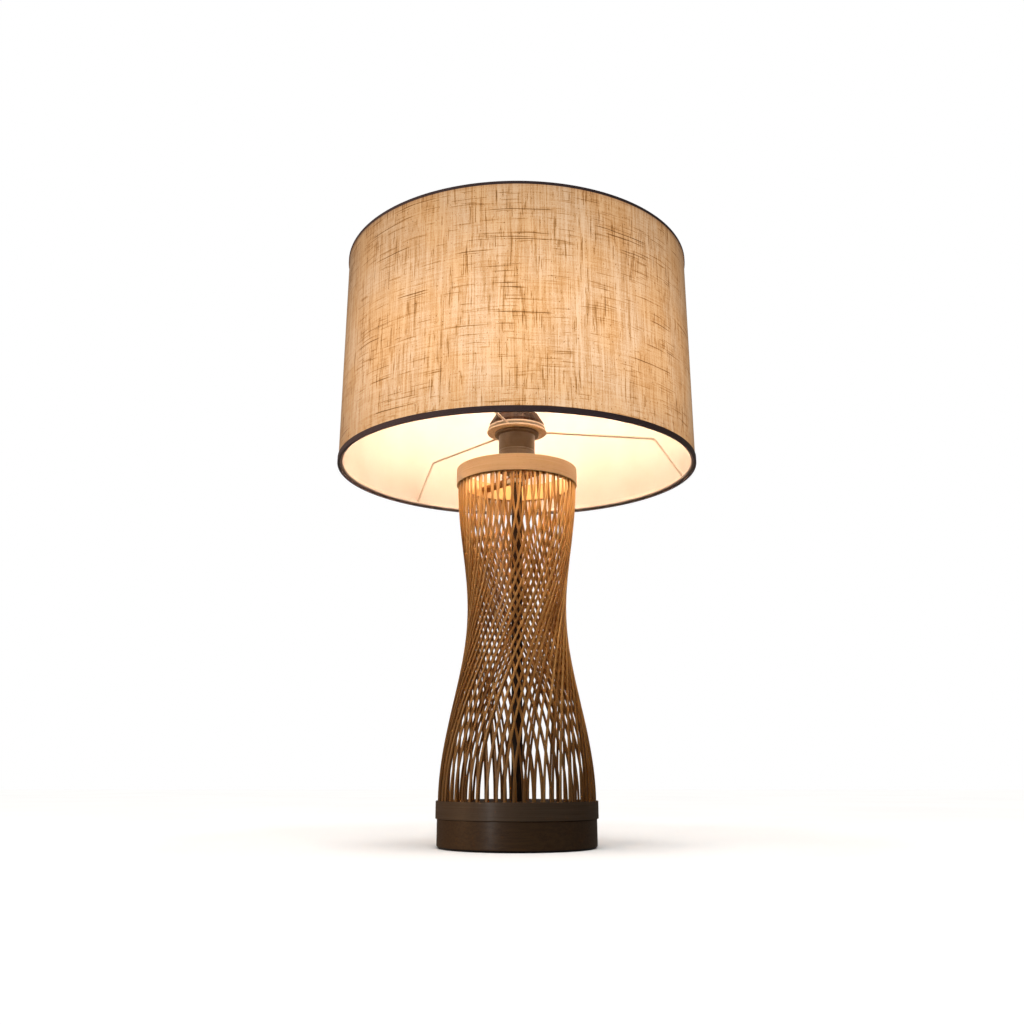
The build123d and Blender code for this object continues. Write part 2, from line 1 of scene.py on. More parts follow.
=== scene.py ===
"""Looks of the table lamp: slub-linen drum shade, bamboo splint cage, dark turned base.

Metres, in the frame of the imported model: +Z up, the lamp's axis at the origin, the cord
inlet on +Y, the lamp looked at from -Y.
"""

from math import cos, pi, radians, sin

import bmesh
import bpy
import numpy as np
from mathutils import Matrix, Vector


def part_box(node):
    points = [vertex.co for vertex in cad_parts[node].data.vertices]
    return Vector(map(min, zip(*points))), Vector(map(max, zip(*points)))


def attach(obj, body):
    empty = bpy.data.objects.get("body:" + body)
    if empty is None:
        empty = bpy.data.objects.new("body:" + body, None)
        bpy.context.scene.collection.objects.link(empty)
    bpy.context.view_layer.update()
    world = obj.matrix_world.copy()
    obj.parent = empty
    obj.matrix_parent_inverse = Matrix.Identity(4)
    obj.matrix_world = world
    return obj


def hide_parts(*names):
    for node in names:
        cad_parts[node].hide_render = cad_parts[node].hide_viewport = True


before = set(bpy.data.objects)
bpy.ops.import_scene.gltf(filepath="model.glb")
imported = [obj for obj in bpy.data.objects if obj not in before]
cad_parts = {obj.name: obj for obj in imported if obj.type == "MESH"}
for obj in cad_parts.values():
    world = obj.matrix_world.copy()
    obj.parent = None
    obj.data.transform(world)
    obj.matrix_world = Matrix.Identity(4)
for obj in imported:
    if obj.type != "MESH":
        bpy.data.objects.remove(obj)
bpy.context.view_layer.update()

MM = 0.001

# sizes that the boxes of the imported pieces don't give
SPLINTS_PER_LAYER = 54
SPLINT_TWIST = radians(84.8)
SPLINT_W = 2.2 * MM
SPLINT_T = 1.3 * MM
SPLINT_FIT = 0.1 * MM  # between a splint and the ring that holds it
SPLINT_WANDER = radians(0.9)  # most that a splint stands off its even place round the cage
HOLDER_THREAD_PITCH = 2.5 * MM
HOLDER_THREAD_DEPTH = 0.6 * MM
HOLDER_WALL = 3.5 * MM  # of the threaded neck
SPIGOT_WALL = 1.7 * MM  # of the part that stands inside the holder's cap
SHOULDER_H = 3.0 * MM
GROOVE_RISE = 2.1 * MM  # from the joint with the cap up to the groove above it
GROOVE_H = 0.6 * MM
GROOVE_DEPTH = 0.4 * MM
NUT_NECK_R = 21.6 * MM  # of the ring nut's cone at its top
NUT_GRIP_H = 3.2 * MM  # upright part at the ring nut's foot
NUT_FLUTES = 24
NUT_FLUTE_DEPTH = 0.45 * MM
CAP_THREAD_PITCH = 3.629 * MM
CAP_THREAD_DEPTH = 0.8 * MM
GLOBE_WALL = 1.2 * MM
LINEN_WALL = 0.3 * MM
TAPE_T = 0.5 * MM
SEAM_LAP = 12.0 * MM  # of the linen on itself
SEAM_STEP = 0.3 * MM
SEAM_EASE = 4.0 * MM  # length over which the linen climbs on to its lap
SEAM_AZIMUTH = radians(131)  # where the linen laps, at the back

HEM_CLEARANCE = 0.35 * MM  # between an edge wire and the board folded round it
HEM_STEP = 0.6 * MM  # how far a hem's end stands off the board's inside
HEM_LIP = 1.6 * MM  # from an edge wire to its hem's end
HEM_TAIL = 3.5 * MM  # from an edge wire to where the board's inside is flat

# how strongly the linen's painted glow (the bulb's light through it, painted on as emission)
# and the bulb glow, and the light in the shade's mouth
PAINTED_LINEN_GLOW = 1.44
BULB_GLOW = 78.0
MOUTH_GLOW = 1.85


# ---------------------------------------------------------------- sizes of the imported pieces
def round_size(node):
    """Inner radius, outer radius, bottom and top of a round piece on the lamp's axis."""
    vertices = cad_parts[node].data.vertices
    places = np.empty(len(vertices) * 3)
    vertices.foreach_get("co", places)
    places = places.reshape(-1, 3)
    radius = np.hypot(places[:, 0], places[:, 1])
    return radius.min(), radius.max(), places[:, 2].min(), places[:, 2].max()


# ---------------------------------------------------------------- surfaces
def eased(corners, radius, steps=3):
    """Closed outline of (r, z) corners, each corner turned into an arc.

    The arc touches both sides at radius / tan(half the corner's angle). One more point
    stands on each side just outside the arc, so that the flats between them shade flat.
    """
    corners = np.array(corners, float)
    radius = np.broadcast_to(radius, len(corners))
    to_last = np.roll(corners, 1, 0) - corners
    to_next = np.roll(corners, -1, 0) - corners
    last_l = np.linalg.norm(to_last, axis=1)
    next_l = np.linalg.norm(to_next, axis=1)
    to_last /= last_l[:, None]
    to_next /= next_l[:, None]
    half = np.arccos(np.clip((to_last * to_next).sum(1), -1, 1)) / 2
    reach = np.minimum(radius / np.tan(half), 0.4 * np.minimum(last_l, next_l))
    bisector = to_last + to_next
    bisector /= np.maximum(np.linalg.norm(bisector, axis=1), 1e-9)[:, None]
    centre = corners + bisector * (reach / np.cos(half))[:, None]
    start = corners + to_last * reach[:, None] - centre
    stop = corners + to_next * reach[:, None] - centre
    sweep = np.maximum(pi - 2 * half, 1e-6)[:, None]
    arc = [
        centre + (np.sin((1 - t) * sweep) * start + np.sin(t * sweep) * stop) / np.sin(sweep)
        for t in np.linspace(0, 1, steps + 1)
    ]
    before = corners + to_last * (1.25 * reach)[:, None]
    after = corners + to_next * (1.25 * reach)[:, None]
    return np.stack([before, *arc, after], 1).reshape(-1, 2)


def skin(name, points, across, along, ends=False, tones=None):
    """One mesh over grids of points, shaped copies x rows x columns x 3.

    Each quad joins four neighbours. Columns close on themselves, and rows do unless ends
    asks for a flat cap at either end. across and along are the UV map's two lengths, in
    metres, at each column and row, with one more value where a direction closes. tones is
    a number for each copy, kept as the point attribute "tone".
    """
    copies, rows, columns = points.shape[:3]
    last = rows - 1 if ends else rows
    row, column = np.meshgrid(np.arange(last), np.arange(columns), indexing="ij")
    corners = [(row, column), (row, column + 1), (row + 1, column + 1), (row + 1, column)]
    one = np.stack([(r % rows) * columns + c % columns for r, c in corners], -1).reshape(-1, 4)
    quads = (one[None] + np.arange(copies)[:, None, None] * rows * columns).reshape(-1, 4)
    flat = points.reshape(-1, 3)
    a, b, c, d = (flat[quads[:, k]] for k in range(4))
    volume = (np.cross(b - a, c - a) * a + np.cross(c - a, d - a) * a).sum()
    caps = []
    if ends:
        ring = np.arange(columns)
        for copy in range(copies):
            foot = copy * rows * columns
            caps += [(foot + ring[::-1]).tolist(), (foot + (rows - 1) * columns + ring).tolist()]
    uv = np.stack(
        [np.stack([np.asarray(across)[c_], np.asarray(along)[r_]], -1) for r_, c_ in corners], -2
    )
    uv = np.tile(uv.reshape(-1, 4, 2), (copies, 1, 1))
    if volume < 0:
        quads = quads[:, ::-1]
        uv = uv[:, ::-1]
        caps = [cap[::-1] for cap in caps]
    mesh = bpy.data.meshes.new(name)
    mesh.from_pydata(flat.tolist(), [], quads.tolist() + caps)
    chart = mesh.uv_layers.new(name="length")
    values = np.zeros((len(mesh.loops), 2), np.float32)
    values[: quads.size] = uv.reshape(-1, 2)
    chart.data.foreach_set("uv", values.ravel())
    if tones is not None:
        tone = mesh.attributes.new("tone", "FLOAT", "POINT")
        tone.data.foreach_set("value", np.repeat(tones, rows * columns).astype(np.float32))
    mesh.polygons.foreach_set("use_smooth", np.ones(len(mesh.polygons), bool))
    mesh.update()
    piece = bpy.data.objects.new(name, mesh)
    bpy.context.scene.collection.objects.link(piece)
    return piece


def weld(piece):
    """Joins points that lie on each other, as at a pole, and drops faces with no area."""
    work = bmesh.new()
    work.from_mesh(piece.data)
    bmesh.ops.remove_doubles(work, verts=work.verts, dist=0.001 * MM)
    bmesh.ops.dissolve_degenerate(work, edges=work.edges, dist=0.0005 * MM)
    work.to_mesh(piece.data)
    work.free()
    return piece


def turned(name, outline, segments=192, ripple=None):
    """A closed (r, z) outline turned about the lamp's axis.

    A point is (r cos a, r sin a, z) at angle a. ripple(a, r, z) is added to r where given.
    """
    outline = np.asarray(outline, float)
    angle = np.arange(segments)[:, None] * (2 * pi / segments)
    r = np.broadcast_to(outline[:, 0], (segments, len(outline)))
    z = np.broadcast_to(outline[:, 1], (segments, len(outline)))
    if ripple is not None:
        r = r + ripple(angle, r, z)
    points = np.stack([r * np.cos(angle), r * np.sin(angle), z], -1)[None]
    closed = np.vstack([outline, outline[:1]])
    across = np.concatenate([[0], np.cumsum(np.linalg.norm(np.diff(closed, axis=0), axis=1))])
    along = np.linspace(0, 2 * pi, segments + 1) * outline[:, 0].max()
    return weld(skin(name, points, across, along))


def finish(piece, material, slot, body, *nodes):
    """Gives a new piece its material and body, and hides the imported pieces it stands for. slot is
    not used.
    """
    piece.data.materials.append(material)
    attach(piece, body)
    if nodes:
        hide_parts(*nodes)
    return piece


# ---------------------------------------------------------------- materials
def linear(hex_colour):
    """An sRGB hex colour as the linear colour that a shader takes."""
    channels = [int(hex_colour[k : k + 2], 16) / 255 for k in (1, 3, 5)]
    curve = [c / 12.92 if c <= 0.04045 else ((c + 0.055) / 1.055) ** 2.4 for c in channels]
    return (*curve, 1)


# what all nodes of a kind have here, unless their own call says otherwise. A pattern's scale
# is on its coordinates, worked out from a real size, so the noise's own Scale is 1.
USUAL_SETTINGS = {"Mix": {"data_type": "RGBA"}, "MapRange": {"interpolation_type": "SMOOTHSTEP"}}
USUAL_SOCKETS = {"TexNoise": {"Scale": 1.0}}


def put(tree, kind, sockets=(), stops=(), **settings):
    """Adds a node with its settings and links.

    sockets is a dict, or a list for the first ones in order. Each gets a value, another
    node's output, or a node for that node's first output. stops are a ramp's places and
    hex colours, in order.
    """
    node = tree.nodes.new("ShaderNode" + kind)
    for key, value in {**USUAL_SETTINGS.get(kind, {}), **settings}.items():
        setattr(node, key, value)
    given = sockets if isinstance(sockets, dict) else dict(enumerate(sockets))
    for key, value in {**USUAL_SOCKETS.get(kind, {}), **given}.items():
        if isinstance(value, bpy.types.Node):
            value = value.outputs[0]
        if isinstance(value, bpy.types.NodeSocket):
            tree.links.new(value, node.inputs[key])
        else:
            node.inputs[key].default_value = value
    if stops:
        ramp = node.color_ramp
        for place, _ in stops[2:]:
            ramp.elements.new(place)
        for element, (place, colour) in zip(ramp.elements, stops):
            element.position = place
            element.color = linear(colour)
    return node


def fresh(name):
    """A new material with an empty node tree."""
    material = bpy.data.materials.new(name)
    material.use_nodes = True
    material.node_tree.nodes.clear()
    return material, material.node_tree


def surfaced(material, sockets, **shader):
    """Ends a material with one Principled shader that has these links and values."""
    principled = put(material.node_tree, "BsdfPrincipled", {**sockets, **shader})
    put(material.node_tree, "OutputMaterial", {"Surface": principled})
    return material


def mottled(tree, place, size_mm, detail=3, roughness=0.5):
    """Uneven patches, from 0 to 1, that are about size_mm long along each axis.

    Each coordinate is divided by the patch's size along it, and noise is read there.
    """
    per_metre = [1 / (size * MM) for size in size_mm]
    scaled = put(tree, "VectorMath", [place, per_metre], operation="MULTIPLY")
    sockets = {"Vector": scaled, "Detail": detail, "Roughness": roughness}
    return put(tree, "TexNoise", sockets)


def plain_finish(name, light, dark, patch_mm, grit_mm, depth_mm, rough, **shader):
    """Two near tones in soft patches, with a fine grit that also varies the gloss."""
    material, tree = fresh(name)
    place = put(tree, "TexCoord").outputs["Object"]
    tone = put(tree, "MapRange", [mottled(tree, place, [patch_mm] * 3), 0.3, 0.7])
    grit = mottled(tree, place, [grit_mm] * 3, detail=2)
    sockets = {
        "Base Color": put(tree, "Mix", {0: tone, 6: linear(dark), 7: linear(light)}).outputs[2],
        "Roughness": put(tree, "MapRange", [grit, 0.25, 0.75, *rough]),
        "Normal": put(tree, "Bump", {"Height": grit, "Distance": depth_mm * MM, "Strength": 1.0}),
    }
    return surfaced(material, sockets, **shader)


THREAD_MM = 0.9  # pitch that the linen's threads are drawn at
THREAD_RUN_MM = 60  # length over which a thread keeps its thickness
THREAD_SHIFT = 7.31  # how far the noise moves on from one thread to the next


# slub linen: flax threads of uneven thickness, plain woven. The bulb's light through the cloth is
# painted on as emission: a painted glow, in which the thin places glow and the thick threads show
# dark. Threads are about 0.45 mm apart in the cloth, and are drawn 0.9 mm apart so that they still
# show. The cloth is stiffened with a thin matt size, which takes more of the light the flatter it
# leaves, so the painted glow is fullest square on.
def slub_linen():
    material, tree = fresh("slub_linen")
    chart = put(tree, "UVMap", uv_map="length")
    split = put(tree, "SeparateXYZ", [chart])
    height, around = split.outputs[0], split.outputs[1]

    def drift(size_mm, reach_mm):
        """Slow sideways drift, so that no thread is ruled straight."""
        swing = put(tree, "Math", [mottled(tree, chart, size_mm, 2), 0.5], operation="SUBTRACT")
        return put(tree, "Math", [swing, reach_mm * MM], operation="MULTIPLY")

    u = put(tree, "Math", [around, drift((60, 25, 1), 4.0)], operation="ADD")
    v = put(tree, "Math", [height, drift((25, 70, 1), 5.0)], operation="ADD")

    def threads(position, length, pitch_mm, run_mm, seed, detail):
        """How thin each thread of one direction is along its run, and its round profile.

        The thread's number is the whole part of position / pitch. Thinness is noise read at
        the number and at length / run. The profile is 1 over the thread's middle and falls
        as 3t^2 - 2t^3 to 0 between two threads.
        """
        counted = put(tree, "Math", [position, pitch_mm * MM], operation="DIVIDE")
        number = put(tree, "Math", [counted], operation="FLOOR")
        offset = put(tree, "Math", [number, THREAD_SHIFT], operation="MULTIPLY")
        run = put(tree, "Math", [length, run_mm * MM], operation="DIVIDE")
        where = put(tree, "CombineXYZ", [offset, run, seed])
        thin = put(tree, "TexNoise", {"Vector": where, "Detail": detail, "Roughness": 0.6})
        part = put(tree, "Math", [counted], operation="FRACT")
        aside = put(tree, "Math", [part, 0.5], operation="SUBTRACT")
        off_middle = put(tree, "Math", [aside], operation="ABSOLUTE")
        return thin, put(tree, "MapRange", [off_middle, 0.15, 0.5, 1.0, 0.0])

    # light that the plain weave lets through, in bands across and in wide patches
    warp, warp_crown = threads(u, v, THREAD_MM, THREAD_RUN_MM, 3.0, 4.0)
    weft, weft_crown = threads(v, u, THREAD_MM, THREAD_RUN_MM, 41.0, 4.0)
    warp_part = put(tree, "Math", [warp, 0.66], operation="MULTIPLY")
    weft_part = put(tree, "Math", [weft, 0.34], operation="MULTIPLY")
    weave = put(tree, "Math", [warp_part, weft_part], operation="ADD")
    # (pattern, its low and high end, light let through at each end)
    passes = [
        (weave, 0.36, 0.64, 0.72, 1.12),
        (mottled(tree, chart, (90, 5, 1), 3), 0.3, 0.7, 0.88, 1.08),
        (mottled(tree, chart, (70, 60, 1), 2), 0.3, 0.7, 0.95, 1.03),
        (mottled(tree, chart, (1.4, 1.1, 1), 2, 0.7), 0.3, 0.7, 0.88, 1.10),
    ]
    through, bands, patches, speckle = (
        put(tree, "MapRange", ends, interpolation_type="LINEAR") for ends in passes
    )
    unevenness = put(tree, "Math", [bands, patches], operation="MULTIPLY")
    through = put(tree, "Math", [through, unevenness], operation="MULTIPLY")

    # slubs: (direction, pitch mm, run mm, seed, noise above which it is thick, light it takes)
    slubs = [
        (u, v, 0.9, 26, 7.0, 0.63, 0.38),
        (u, v, 1.2, 60, 13.0, 0.65, 0.36),
        (u, v, 2.1, 40, 19.0, 0.68, 0.24),
        (v, u, 0.8, 40, 57.0, 0.63, 0.36),
        (v, u, 1.0, 120, 61.0, 0.66, 0.55),
    ]
    gather = [mottled(tree, chart, (50, 40, 1), 2), 0.35, 0.65, 0.05, -0.035]
    gathered = put(tree, "MapRange", gather, interpolation_type="LINEAR")
    thick = 0.0
    for position, length, pitch_mm, run_mm, seed, limit, loss in slubs:
        noise, crown = threads(position, length, pitch_mm, run_mm, seed, 1.0)
        raised = put(tree, "Math", [noise, gathered], operation="ADD")
        over = put(tree, "Math", [raised, limit], operation="SUBTRACT")
        swell = put(tree, "MapRange", [over, 0.0, 0.08])
        profile = put(tree, "MapRange", [crown, 0.0, 1.0, 0.5, 1.0])
        slub = put(tree, "Math", [swell, profile], operation="MULTIPLY")
        taken = put(tree, "Math", [slub, loss], operation="MULTIPLY")
        left = put(tree, "Math", [1.0, taken], operation="SUBTRACT")
        through = put(tree, "Math", [through, left], operation="MULTIPLY")
        thick = put(tree, "Math", [slub, thick], operation="ADD")

    through = put(tree, "Math", [through, speckle], operation="MULTIPLY")
    knots = put(tree, "MapRange", [mottled(tree, chart, (2.2, 1.6, 1), 1), 0.68, 0.75])
    dimmed = put(tree, "Math", [knots, 0.5], operation="MULTIPLY")
    left = put(tree, "Math", [1.0, dimmed], operation="SUBTRACT")
    through = put(tree, "Math", [through, left], operation="MULTIPLY")

    # painted glow: the bulb's light through the linen is painted on as emission. It falls off
    # with height as the cosine over the square of the distance, and the white lining spreads a
    # quarter of it evenly
    bulb_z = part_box("bulb_housing")[1].z - 2 * MM
    above = put(tree, "Math", [height, bulb_z], operation="SUBTRACT")
    rise = put(tree, "Math", [above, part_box("shade_fabric")[1].x], operation="DIVIDE")
    squared = put(tree, "Math", [rise, rise], operation="MULTIPLY")
    distance = put(tree, "Math", [squared, 1.0], operation="ADD")
    falloff = put(tree, "Math", [distance, -1.5], operation="POWER")
    direct = put(tree, "Math", [falloff, 0.75], operation="MULTIPLY")
    glow = put(tree, "Math", [direct, 0.25], operation="ADD")

    # painted glow colours: the linen as lit through by the bulb, a lit copy of its own colour below
    painted_glow_stops = [(0.2, "#5a4430"), (0.5, "#a98458"), (0.75, "#dbba97"), (1.0, "#f8e8dc")]
    lit = put(tree, "ValToRGB", [through], painted_glow_stops)
    raw_stops = [(0.3, "#5c4a38"), (0.7, "#a08a6c"), (1.0, "#c2ab8c")]
    raw = put(tree, "ValToRGB", [through], raw_stops)
    warmer = put(tree, "Mix", {0: 1.0, 6: lit, 7: linear("#fff5e2")}, blend_type="MULTIPLY")
    golden = put(tree, "MapRange", [mottled(tree, chart, (60, 45, 7), 2), 0.35, 0.65])
    cover = put(tree, "Math", [warp_crown, weft_crown], operation="MAXIMUM")
    raised = put(tree, "Math", [cover, thick], operation="ADD")
    sockets = {
        "Base Color": raw,
        # the painted glow, standing in for the bulb's light shining through the cloth
        "Emission Color": put(tree, "Mix", {0: golden, 6: lit, 7: warmer.outputs[2]}).outputs[2],
        "Emission Strength": put(tree, "Math", [glow, PAINTED_LINEN_GLOW], operation="MULTIPLY"),
        "Normal": put(tree, "Bump", {"Height": raised, "Distance": 0.12 * MM, "Strength": 1.0}),
        "Roughness": 0.9,
        "Specular IOR Level": 0.1,
        "Sheen Weight": 1.0,
        "Sheen Roughness": 0.5,
        "Coat Weight": 1.0,
        "Coat Roughness": 0.9,
        "Coat IOR": 1.5,
        "Coat Tint": linear("#e9d3b6"),
    }
    return surfaced(material, sockets)


# bias tape: cotton tape cut across the weave and folded over the edge. Its threads lie at 45
# degrees. They are 0.35 mm apart, and are drawn 0.9 mm apart so that they show. A wave's
# bands lie 2 pi / 20 of a unit apart at a Scale of 1.
def bias_tape():
    material, tree = fresh("cotton_bias_tape")
    chart = put(tree, "UVMap", uv_map="length")
    slanted = put(tree, "Mapping", {"Vector": chart, "Rotation": (0, 0, pi / 4)})
    wave_scale = 2 * pi / 20 / (THREAD_MM * MM)
    warp = {"Vector": slanted, "Scale": wave_scale, "Distortion": 0.6}
    ribs = put(tree, "TexWave", warp).outputs["Fac"]
    fluffy = put(tree, "Math", [ribs, mottled(tree, chart, (1.4, 1.4, 1))], operation="ADD")
    weave = put(tree, "Math", [fluffy, 0.5], operation="MULTIPLY")
    faded = put(tree, "Math", [mottled(tree, chart, (6, 45, 1)), 0.5], operation="MULTIPLY")
    worn = put(tree, "Math", [weave, faded], operation="ADD")
    tone = put(tree, "MapRange", [worn, 0.4, 1.0])
    cotton = put(tree, "Mix", {0: tone, 6: linear("#66565a"), 7: linear("#937f86")})
    sockets = {
        "Base Color": cotton.outputs[2],
        "Normal": put(tree, "Bump", {"Height": weave, "Distance": 0.08 * MM, "Strength": 1.0}),
        "Roughness": 0.85,
        "Sheen Weight": 0.6,
        "Sheen Roughness": 0.4,
        "Specular IOR Level": 0.25,
    }
    return surfaced(material, sockets)


# split bamboo: long straight fibres with fine dark pores between them, and a thin satin
# lacquer over a warm stain. Each splint has a tone of its own, which also moves its fibres on.
def split_bamboo():
    material, tree = fresh("split_bamboo")
    chart = put(tree, "UVMap", uv_map="length")
    tone = put(tree, "Attribute", attribute_name="tone").outputs["Fac"]
    moved = put(tree, "Math", [tone, 9.0], operation="MULTIPLY")
    shift = put(tree, "CombineXYZ", {2: moved})
    place = put(tree, "VectorMath", [chart, shift], operation="ADD")
    fibre = mottled(tree, place, (0.35, 28, 1000), 4, 0.6)
    blotch = mottled(tree, place, (6, 40, 1000), 2)
    own = put(tree, "MapRange", [tone, 0.0, 1.0, -0.16, 0.16], interpolation_type="LINEAR")
    both = put(tree, "Math", [fibre, blotch], operation="ADD")
    figure = put(tree, "Math", [both, 0.5], operation="MULTIPLY")
    share = put(tree, "Math", [figure, own], operation="ADD")
    stops = [(0.2, "#714722"), (0.42, "#a87a42"), (0.6, "#bf9158"), (0.85, "#d8b27c")]
    sockets = {
        "Base Color": put(tree, "ValToRGB", [share], stops),
        "Roughness": put(tree, "MapRange", [fibre, 0.3, 0.7, 0.5, 0.36]),
        "Normal": put(tree, "Bump", {"Height": fibre, "Distance": 0.05 * MM, "Strength": 1.0}),
        "Coat Weight": 0.25,
        "Coat Roughness": 0.3,
        "Specular IOR Level": 0.4,
    }
    return surfaced(material, sockets)


def grained(material, place, streak_mm, pore_mm, colours, rough, depth_mm, **shader):
    """Wood: streaks of a light and a dark tone along the grain, with short dark pores in it."""
    tree = material.node_tree
    light, dark, pore = map(linear, colours)
    streak = mottled(tree, place, streak_mm, 4, 0.6)
    pores = put(tree, "MapRange", [mottled(tree, place, pore_mm, 2), 0.62, 0.72])
    tone = put(tree, "MapRange", [streak, 0.3, 0.7])
    board = put(tree, "Mix", {0: tone, 6: dark, 7: light}).outputs[2]
    filled = put(tree, "Math", [pores, 0.6], operation="MULTIPLY")
    raised = put(tree, "Math", [streak, pores], operation="SUBTRACT")
    sockets = {
        "Base Color": put(tree, "Mix", {0: filled, 6: board, 7: pore}).outputs[2],
        "Roughness": put(tree, "MapRange", [streak, 0.3, 0.7, *rough]),
        "Normal": put(tree, "Bump", {"Height": raised, "Distance": depth_mm * MM, "Strength": 1.0}),
        "Specular IOR Level": 0.4,
    }
    return surfaced(material, sockets, **shader)


# bent wood: a thin board steamed round a former, so its grain runs round the ring in long
# streaks with short dark pores, under satin lacquer.
def bent_wood(name, light, dark, pore, coat):
    material, tree = fresh(name)
    chart = put(tree, "UVMap", uv_map="length")
    lacquer = {"Coat Weight": coat, "Coat Roughness": 0.25}
    colours = (light, dark, pore)
    return grained(
        material, chart, (1.1, 70, 1), (0.3, 6, 1), colours, (0.48, 0.38), 0.05, **lacquer
    )


# turned hardwood: the drum is cut from a board, so its grain runs straight through it along X
# and shows as streaks on the sides, under a dark stain and satin lacquer.
def turned_hardwood():
    material, tree = fresh("stained_hardwood")
    place = put(tree, "TexCoord").outputs["Object"]
    lacquer = {"Coat Weight": 0.35, "Coat Roughness": 0.22}
    colours = ("#75593b", "#664c35", "#33241a")
    return grained(
        material, place, (60, 2.2, 2.2), (5, 0.35, 0.35), colours, (0.46, 0.36), 0.04, **lacquer
    )


# opal diffuser: frosted plastic lit from inside, an even warm glow.
def glowing_opal():
    material, tree = fresh("opal_polycarbonate")
    place = put(tree, "TexCoord").outputs["Object"]
    haze = mottled(tree, place, (9, 9, 9))
    frost = put(tree, "Mix", {0: haze, 6: linear("#fff6e6"), 7: linear("#fffaf0")})
    sockets = {
        "Base Color": frost.outputs[2],
        "Roughness": 0.4,
        "Emission Color": linear("#ffdcbc"),
        "Emission Strength": BULB_GLOW,
    }
    return surfaced(material, sockets)


linen_cloth = slub_linen()
# shade board: smooth white plastic film behind the linen. It gives a soft, even white with a
# faint cloudiness and next to no gloss.
board_white = plain_finish(
    "shade_board", "#e6ded9", "#e3d9d2", 40, 1.2, 0.02, (0.45, 0.6), **{"Specular IOR Level": 0.35}
)
tape_cotton = bias_tape()
bamboo = split_bamboo()
collar_wood = bent_wood("pale_bent_wood", "#e7cc9f", "#dfc08e", "#c09a68", 0.2)
inner_hoop_wood = bent_wood("inner_bent_wood", "#dbb07a", "#cd9f66", "#a87c48", 0.15)
band_wood = bent_wood("stained_bent_wood", "#85705c", "#78624e", "#5a4737", 0.3)
drum_wood = turned_hardwood()
opal = glowing_opal()

# satin phenolic resin, moulded: a warm grey-brown with a faint cloud of filler
phenolic = plain_finish(
    "moulded_phenolic",
    "#5e564a",
    "#544c40",
    8,
    0.5,
    0.015,
    (0.34, 0.46),
    **{"Specular IOR Level": 0.45},
)
# the ring nut's resin is darker and redder than the holder's, and reflects less
nut_phenolic = plain_finish(
    "dark_phenolic",
    "#4a2f1f",
    "#2c1b11",
    6,
    0.4,
    0.015,
    (0.42, 0.55),
    **{"Specular IOR Level": 0.25},
)
# stove enamel on pressed steel: smooth, faint orange peel
enamel = plain_finish(
    "white_enamel", "#f6f0e4", "#f0e7d8", 14, 1.1, 0.03, (0.22, 0.32), **{"Coat Weight": 0.3}
)
# brushed-on paint on steel: satin, with a slow change of tone and a little metal powder in the
# stem's
bronze_paint = plain_finish(
    "dark_bronze_paint", "#3a2d24", "#2c221b", 10, 0.6, 0.02, (0.4, 0.55), **{"Metallic": 0.2}
)
tan_paint = plain_finish("tan_paint", "#a87c4c", "#966b3e", 12, 0.7, 0.02, (0.45, 0.6))
# plated and pressed metals: fully metallic, near-even tone, the grit only breaks up the gloss
METAL = {"Metallic": 1.0}
zinc = plain_finish("zinc_plate", "#b9bbb6", "#a3a5a0", 4, 0.3, 0.01, (0.3, 0.45), **METAL)
brass = plain_finish("pressed_brass", "#d9b666", "#c9a353", 5, 0.3, 0.01, (0.25, 0.4), **METAL)
solder = plain_finish("soft_solder", "#c6c6c4", "#aeaeac", 2, 0.6, 0.08, (0.25, 0.5), **METAL)
nickel = plain_finish("nickel_plate", "#cfcbc2", "#bdb8ae", 6, 0.3, 0.01, (0.18, 0.3), **METAL)
# iron cast in sand: rough and dark, with a coarse grain
cast_iron = plain_finish(
    "cast_iron", "#4a4846", "#363432", 3, 0.9, 0.2, (0.6, 0.8), **{"Metallic": 0.7}
)
# powder coat: black, baked, finely pebbled
powder_coat = plain_finish("black_powder_coat", "#1c1c1c", "#141414", 5, 0.4, 0.04, (0.5, 0.65))
# felt pressed from wool: matt, furry, with soft sheen
wool_felt = plain_finish(
    "pressed_wool_felt", "#2e2e31", "#1e1e20", 1.6, 0.35, 0.25, (0.9, 1.0), **{"Sheen Weight": 0.4}
)
# moulded rubber and plastics: even colour, the gloss set by the mould
rubber = plain_finish("moulded_rubber", "#1d1c1b", "#151413", 4, 0.3, 0.03, (0.6, 0.75))
nylon = plain_finish("grub_nylon", "#5a4c40", "#4c4036", 3, 0.3, 0.01, (0.35, 0.5))
carrier_plastic = plain_finish(
    "moulded_carrier", "#d6d0c4", "#cac3b5", 5, 0.4, 0.02, (0.5, 0.65)
)
bulb_plastic = plain_finish("bulb_plastic", "#f1eee6", "#e9e5da", 10, 0.6, 0.02, (0.4, 0.5))
# black glass round the bulb's tip: glossy
cap_glass = plain_finish("black_cap_glass", "#121212", "#0c0c0c", 4, 0.4, 0.02, (0.12, 0.25))
# solder mask on the board behind the diffuser: white, satin
board_print = plain_finish("led_board_mask", "#eeeeea", "#e2e2de", 6, 0.5, 0.02, (0.35, 0.5))

# ---------------------------------------------------------------- bamboo cage
cage_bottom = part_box("base_band")[1].z
cage_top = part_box("top_hoop")[0].z
NODE_SWELL = 0.035  # how much wider a splint is at a bamboo node, as a share of its width
NODE_REACH = 2.2 * MM


